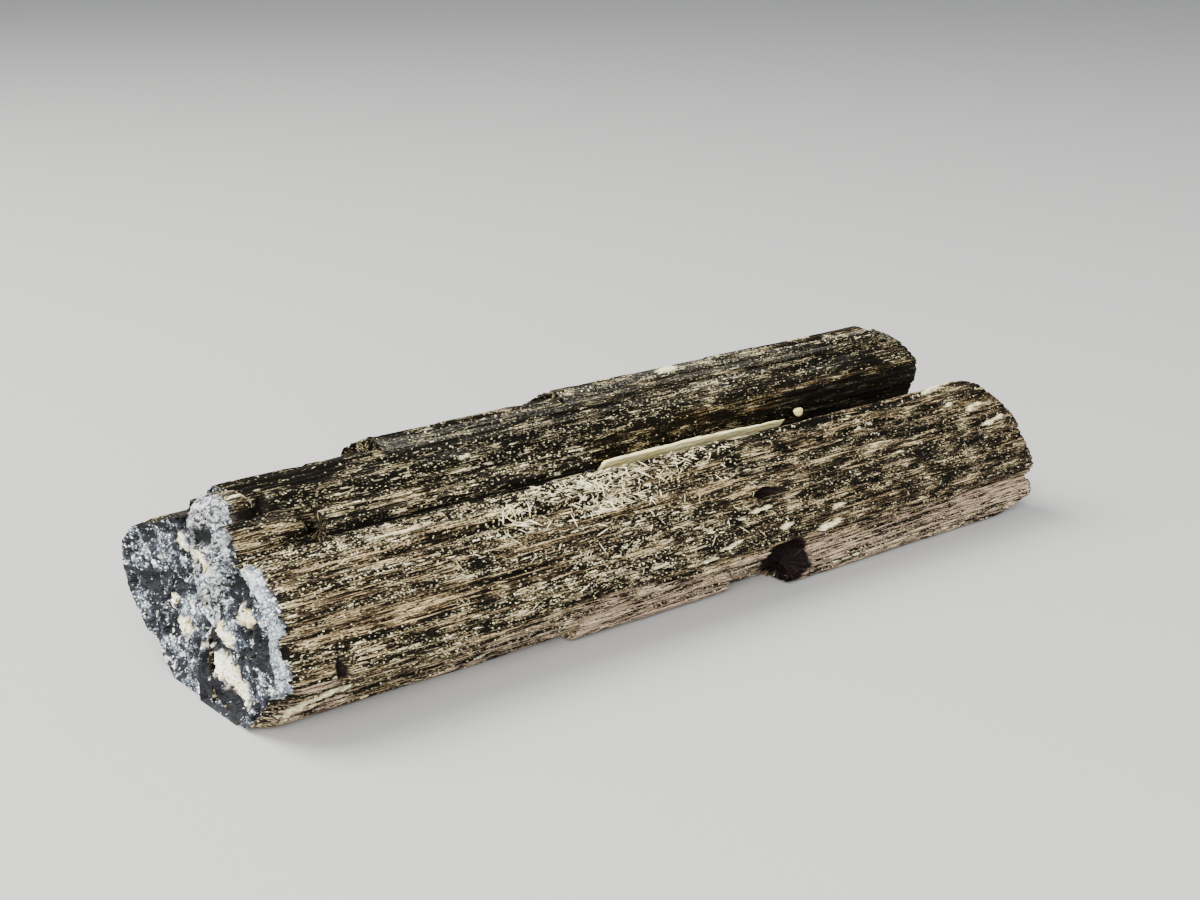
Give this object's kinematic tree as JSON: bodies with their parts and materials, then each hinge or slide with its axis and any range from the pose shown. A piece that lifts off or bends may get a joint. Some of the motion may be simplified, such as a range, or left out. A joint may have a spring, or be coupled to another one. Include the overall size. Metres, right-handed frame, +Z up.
{
  "type": "tourmaline crystal",
  "caption": "Bundle of long striated black tourmaline prisms grown together, lying on its side, with broken ends and a thin cream sliver in its groove.",
  "frame": {"origin": "Middle of the bounding box at its base, on the surface that the specimen lies on.", "axes": "+X along the prisms towards the far end, +Y towards the back, +Z up."},
  "size_m": [0.1442, 0.045, 0.0314],
  "materials": {
    "tourmaline": "Striated black to olive brown stone, with cream dust in its grooves and a granular blue-grey fracture.",
    "feldspar": "Dull cream stone."
  },
  "bodies": {
    "root": {"tourmaline_crystal": "tourmaline", "feldspar_seam": "feldspar"}
  },
  "joints": []
}
